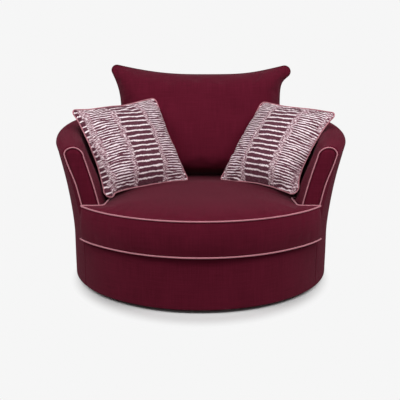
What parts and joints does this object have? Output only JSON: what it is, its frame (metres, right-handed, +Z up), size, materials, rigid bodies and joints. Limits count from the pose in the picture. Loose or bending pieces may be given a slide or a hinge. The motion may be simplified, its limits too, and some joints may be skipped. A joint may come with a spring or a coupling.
{
  "type": "swivel cuddle chair",
  "caption": "Round swivel tub armchair, wide enough to share, with a flared wrap-round arm, deep piped seat cushion, loose back cushion and striped scatter cushions.",
  "frame": {"origin": "on the floor, on the swivel axis", "axes": "+Z up, the open front faces -Y, +X to the right as seen from the front"},
  "size_m": [1.288, 1.214, 0.9263],
  "materials": {
    "burgundy_weave": "burgundy chenille-like woven upholstery fabric",
    "rose_piping": "dusty rose contrast piping cord",
    "striped_weave": "woven fabric with broken pale stripes on plum",
    "plywood": "plain birch plywood and softwood",
    "hardboard": "brown flexible hardboard",
    "foam": "cream upholstery foam",
    "black_board": "black-stained board",
    "black_plastic": "black glide plastic",
    "zinc_steel": "zinc-plated steel"
  },
  "bodies": {
    "floor_base": {"floor_board": "black_board", "glide_1": "black_plastic", "glide_2": "black_plastic", "glide_3": "black_plastic", "glide_4": "black_plastic", "glide_5": "black_plastic", "glide_6": "black_plastic", "lower_swivel_plate": "zinc_steel", "pivot_bolt": "zinc_steel", "pivot_nut": "zinc_steel"},
    "ball_race": {"ball_cage": "zinc_steel"},
    "chair": {"upper_swivel_plate": "zinc_steel", "mount_rail_left": "plywood", "mount_rail_right": "plywood", "drum_bottom_ring": "plywood", "drum_top_ring": "plywood", "drum_post_1": "plywood", "drum_post_2": "plywood", "drum_post_3": "plywood", "drum_post_4": "plywood", "drum_post_5": "plywood", "drum_post_6": "plywood", "drum_skin": "hardboard", "seat_spring_1": "zinc_steel", "seat_spring_2": "zinc_steel", "seat_spring_3": "zinc_steel", "seat_spring_4": "zinc_steel", "seat_spring_5": "zinc_steel", "deck_pad": "foam", "front_cover": "burgundy_weave", "tub_base_rail": "plywood", "tub_top_rail": "plywood", "tub_rib_1": "plywood", "tub_rib_2": "plywood", "tub_rib_3": "plywood", "tub_rib_4": "plywood", "tub_rib_5": "plywood", "tub_rib_6": "plywood", "tub_rib_7": "plywood", "arm_board_left": "plywood", "arm_board_right": "plywood", "tub_outer_board": "hardboard", "tub_foam": "foam", "inside_cover": "burgundy_weave", "outside_cover": "burgundy_weave", "arm_facing_left": "burgundy_weave", "arm_facing_right": "burgundy_weave", "arm_piping_left": "rose_piping", "arm_piping_right": "rose_piping"},
    "seat": {"seat_cushion": "burgundy_weave", "seat_piping_lower": "rose_piping", "seat_piping_upper": "rose_piping"},
    "back": {"back_cushion": "burgundy_weave"},
    "left_scatter": {"scatter_cushion_left": "striped_weave", "scatter_piping_left": "rose_piping"},
    "right_scatter": {"scatter_cushion_right": "striped_weave", "scatter_piping_right": "rose_piping"}
  },
  "joints": [
    {"name": "swivel", "type": "hinge", "parent": "floor_base", "child": "chair", "pos_m": [0, 0, 0.0337], "axis": [0, 0, 1], "continuous": true},
    {"name": "cage_turn", "type": "hinge", "parent": "floor_base", "child": "ball_race", "pos_m": [0, 0, 0.0337], "axis": [0, 0, 1], "continuous": true},
    {"name": "seat_cushion_lift", "type": "slide", "parent": "chair", "child": "seat", "axis": [0, 0, 1], "range_m": [0, 0.45]},
    {"name": "back_cushion_lift", "type": "slide", "parent": "seat", "child": "back", "axis": [0, 0, 1], "range_m": [0, 0.35]},
    {"name": "left_scatter_lift", "type": "slide", "parent": "back", "child": "left_scatter", "axis": [0.0995, -0.597, 0.796], "range_m": [0, 0.3]},
    {"name": "right_scatter_lift", "type": "slide", "parent": "back", "child": "right_scatter", "axis": [-0.0995, -0.597, 0.796], "range_m": [0, 0.3]}
  ],
  "couplings": [
    {"joint": "cage_turn", "follows": "swivel", "ratio": 0.5}
  ]
}
